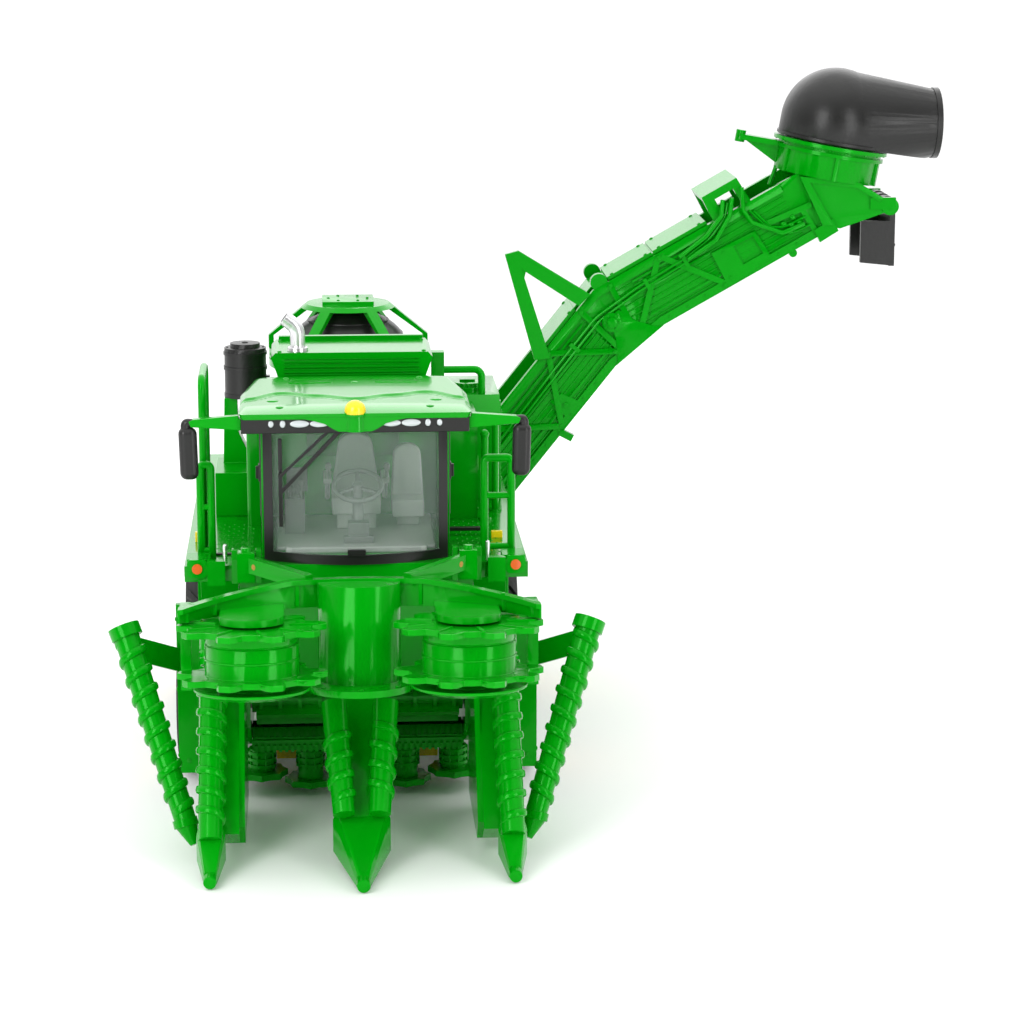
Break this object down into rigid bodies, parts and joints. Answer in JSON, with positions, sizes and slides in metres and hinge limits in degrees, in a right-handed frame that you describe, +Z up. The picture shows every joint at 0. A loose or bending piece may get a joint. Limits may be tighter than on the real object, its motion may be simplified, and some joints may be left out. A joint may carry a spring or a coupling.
{
  "type": "sugarcane harvester scale model",
  "caption": "Toy-scale two-row sugarcane harvester with crop dividers, topper, cab, extractor hoods and a side-swung elevator that slews and lifts.",
  "frame": {"origin": "on the floor under the middle of the standing outline, elevator swung to the machine's left", "axes": "+Z up; the machine looks along -Y; +X is its left side, to which the elevator points"},
  "size_m": [0.1771, 0.1818, 0.1322],
  "materials": {
    "green_body": "gloss paint",
    "green_plastic": "gloss moulded",
    "black_plastic": "satin moulded",
    "grey_plastic": "matte moulded",
    "tyre_rubber": "matte",
    "yellow_plastic": "gloss moulded",
    "orange_lens": "gloss lens",
    "steel": "drawn bar",
    "bright_plating": "bright",
    "clear_pane": "tinted clear"
  },
  "bodies": {
    "machine": {"air_cleaner": "black_plastic", "air_cleaner_stand": "green_plastic", "base_cutters": "green_plastic", "beacon": "yellow_plastic", "cab_interior": "grey_plastic", "cab_roof": "green_body", "cab_shell": "green_body", "centre_divider": "green_plastic", "centre_scrolls": "green_plastic", "deck": "green_body", "engine_housing": "green_body", "exhaust": "bright_plating", "extractor_housing": "green_body", "feed_rollers": "green_plastic", "front_axle": "steel", "front_lamps": "orange_lens", "handrails": "green_plastic", "lamp_boxes": "green_plastic", "left_divider": "green_plastic", "left_inner_scroll": "green_plastic", "left_outer_scroll": "green_plastic", "light_bar": "black_plastic", "main_frame": "green_body", "mirror_arms": "green_plastic", "mirrors": "black_plastic", "rear_axle": "steel", "right_divider": "green_plastic", "right_inner_scroll": "green_plastic", "right_outer_scroll": "green_plastic", "side_bodies": "green_body", "side_windows": "clear_pane", "tank": "green_body", "windscreen": "clear_pane", "windscreen_frame": "black_plastic", "wiper": "black_plastic", "yellow_crossbar": "yellow_plastic"},
    "front_left_wheel": {"front_left_tyre": "tyre_rubber", "front_left_rim": "yellow_plastic"},
    "front_right_wheel": {"front_right_tyre": "tyre_rubber", "front_right_rim": "yellow_plastic"},
    "rear_left_wheel": {"rear_left_tyre": "tyre_rubber", "rear_left_rim": "yellow_plastic"},
    "rear_right_wheel": {"rear_right_tyre": "tyre_rubber", "rear_right_rim": "yellow_plastic"},
    "topper": {"topper_frame": "green_plastic", "topper_arms": "green_plastic"},
    "left_drum": {"left_topper_drum": "green_plastic"},
    "right_drum": {"right_topper_drum": "green_plastic"},
    "extractor_hood": {"extractor_dome": "black_plastic", "extractor_cage": "green_plastic"},
    "slew": {"turntable": "green_plastic"},
    "elevator": {"boom": "green_plastic", "boom_cover": "green_plastic", "boom_struts": "green_plastic", "secondary_ring": "green_plastic", "conveyor": "green_plastic", "boom_piping": "green_plastic"},
    "spout": {"secondary_hood": "black_plastic"},
    "flap": {"bin_flap": "black_plastic"}
  },
  "joints": [
    {"name": "front_left_wheel_roll", "type": "hinge", "parent": "machine", "child": "front_left_wheel", "pos_m": [-0.0104, -0.0058, 0.0135], "axis": [1, 0, 0], "continuous": true},
    {"name": "front_right_wheel_roll", "type": "hinge", "parent": "machine", "child": "front_right_wheel", "pos_m": [-0.0724, -0.0058, 0.0135], "axis": [1, 0, 0], "continuous": true},
    {"name": "rear_left_wheel_roll", "type": "hinge", "parent": "machine", "child": "rear_left_wheel", "pos_m": [-0.0104, 0.0522, 0.016], "axis": [1, 0, 0], "continuous": true},
    {"name": "rear_right_wheel_roll", "type": "hinge", "parent": "machine", "child": "rear_right_wheel", "pos_m": [-0.0724, 0.0522, 0.016], "axis": [1, 0, 0], "continuous": true},
    {"name": "topper_lift", "type": "hinge", "parent": "machine", "child": "topper", "pos_m": [-0.0414, -0.0408, 0.051], "axis": [-1, 0, 0], "range_deg": [-8, 25]},
    {"name": "left_drum_turn", "type": "hinge", "parent": "topper", "child": "left_drum", "pos_m": [-0.0225, -0.0778, 0.0427], "axis": [0, 0.0872, 0.9962], "continuous": true},
    {"name": "right_drum_turn", "type": "hinge", "parent": "topper", "child": "right_drum", "pos_m": [-0.0603, -0.0778, 0.0427], "axis": [0, 0.0872, 0.9962], "continuous": true},
    {"name": "extractor_hood_turn", "type": "hinge", "parent": "machine", "child": "extractor_hood", "pos_m": [-0.0414, 0.0597, 0.072], "axis": [0, 0, 1], "continuous": true},
    {"name": "elevator_slew", "type": "hinge", "parent": "machine", "child": "slew", "pos_m": [-0.0414, 0.0782, 0.023], "axis": [0, 0, 1], "range_deg": [0, 170]},
    {"name": "elevator_lift", "type": "hinge", "parent": "slew", "child": "elevator", "pos_m": [-0.0264, 0.0782, 0.0237], "axis": [0, -1, 0], "range_deg": [-20, 5]},
    {"name": "spout_turn", "type": "hinge", "parent": "elevator", "child": "spout", "pos_m": [0.0656, 0.0782, 0.112], "axis": [0.1736, 0, 0.9848], "continuous": true},
    {"name": "flap_swing", "type": "hinge", "parent": "elevator", "child": "flap", "pos_m": [0.0781, 0.0782, 0.1025], "axis": [0, -1, 0], "range_deg": [0, 40]}
  ]
}
